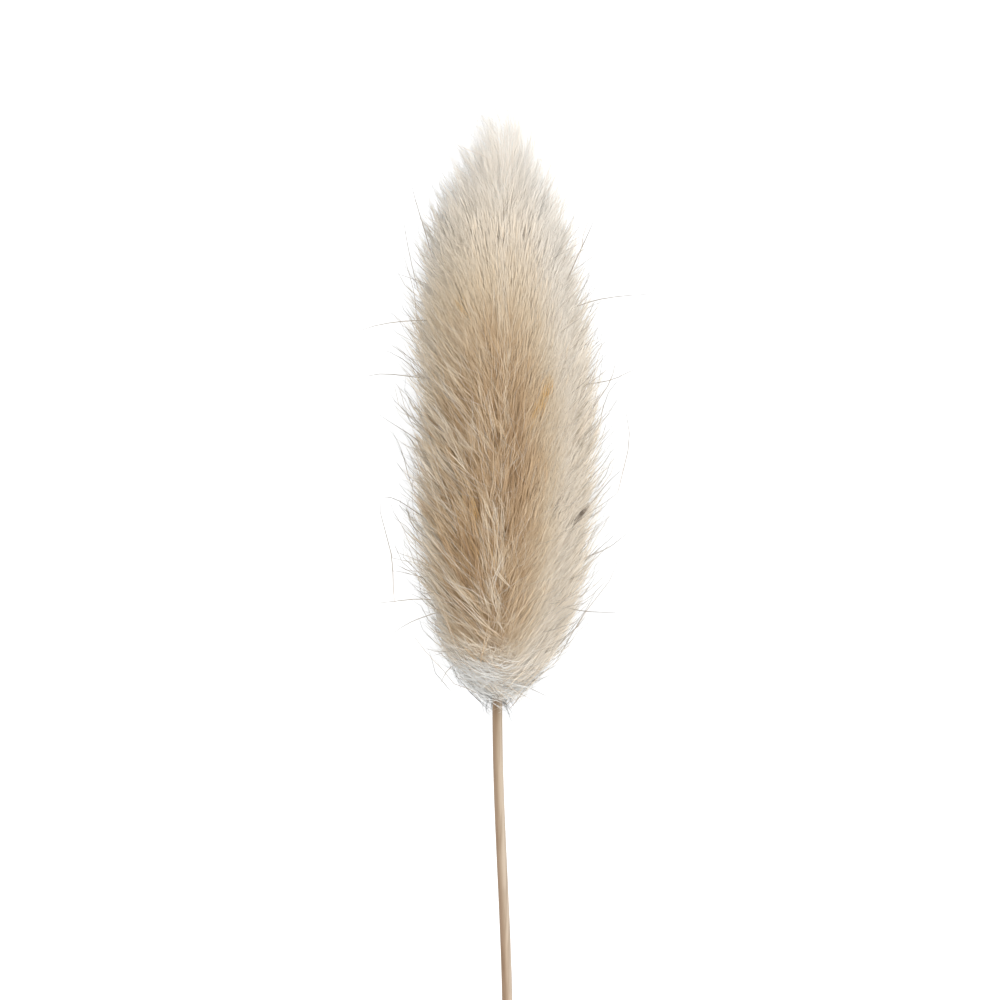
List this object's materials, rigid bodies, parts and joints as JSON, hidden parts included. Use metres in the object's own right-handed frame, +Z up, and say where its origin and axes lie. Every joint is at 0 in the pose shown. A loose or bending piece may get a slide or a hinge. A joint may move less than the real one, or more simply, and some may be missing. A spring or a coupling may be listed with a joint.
{
  "type": "dried bunny tail grass stem",
  "caption": "A single dried bunny tail: a long soft furry seed head of pale tan and cream tufts on one thin, gently curved cut stem, lying on its side.",
  "frame": {"origin": "on the surface that the stem lies on, under the middle of the whole thing's box", "axes": "+Y along the stem towards the tip of the head, +Z up from the surface, +X to the right seen from above with the tip away"},
  "size_m": [0.0202, 0.168, 0.0188],
  "materials": {
    "straw": "satin",
    "fur": "matte"
  },
  "bodies": {
    "root": {"stem": "straw", "tuft_01": "fur", "tuft_02": "fur", "tuft_03": "fur", "tuft_04": "fur", "tuft_05": "fur", "tuft_06": "fur", "tuft_07": "fur", "tuft_08": "fur", "tuft_09": "fur", "tuft_10": "fur", "tuft_11": "fur", "tuft_12": "fur", "tuft_13": "fur", "tuft_14": "fur", "tuft_15": "fur", "tuft_16": "fur", "tuft_17": "fur", "tuft_18": "fur", "tuft_19": "fur", "tuft_20": "fur", "tuft_21": "fur", "tuft_22": "fur", "tuft_23": "fur", "tuft_24": "fur", "tuft_25": "fur", "tuft_26": "fur", "tuft_27": "fur", "tuft_28": "fur", "tuft_29": "fur", "tuft_30": "fur", "tuft_31": "fur", "tuft_32": "fur", "tuft_33": "fur", "tuft_34": "fur", "tuft_35": "fur", "tuft_36": "fur", "tuft_37": "fur", "tuft_38": "fur", "tuft_39": "fur", "tuft_40": "fur", "tuft_41": "fur", "tuft_42": "fur", "tuft_43": "fur", "tuft_44": "fur", "tuft_45": "fur", "tuft_46": "fur", "tuft_47": "fur", "tuft_48": "fur", "tuft_49": "fur", "tuft_50": "fur", "tuft_51": "fur", "tuft_52": "fur", "tuft_53": "fur", "tuft_54": "fur", "tuft_55": "fur", "tuft_56": "fur", "tuft_57": "fur", "tuft_tip": "fur"}
  },
  "joints": []
}
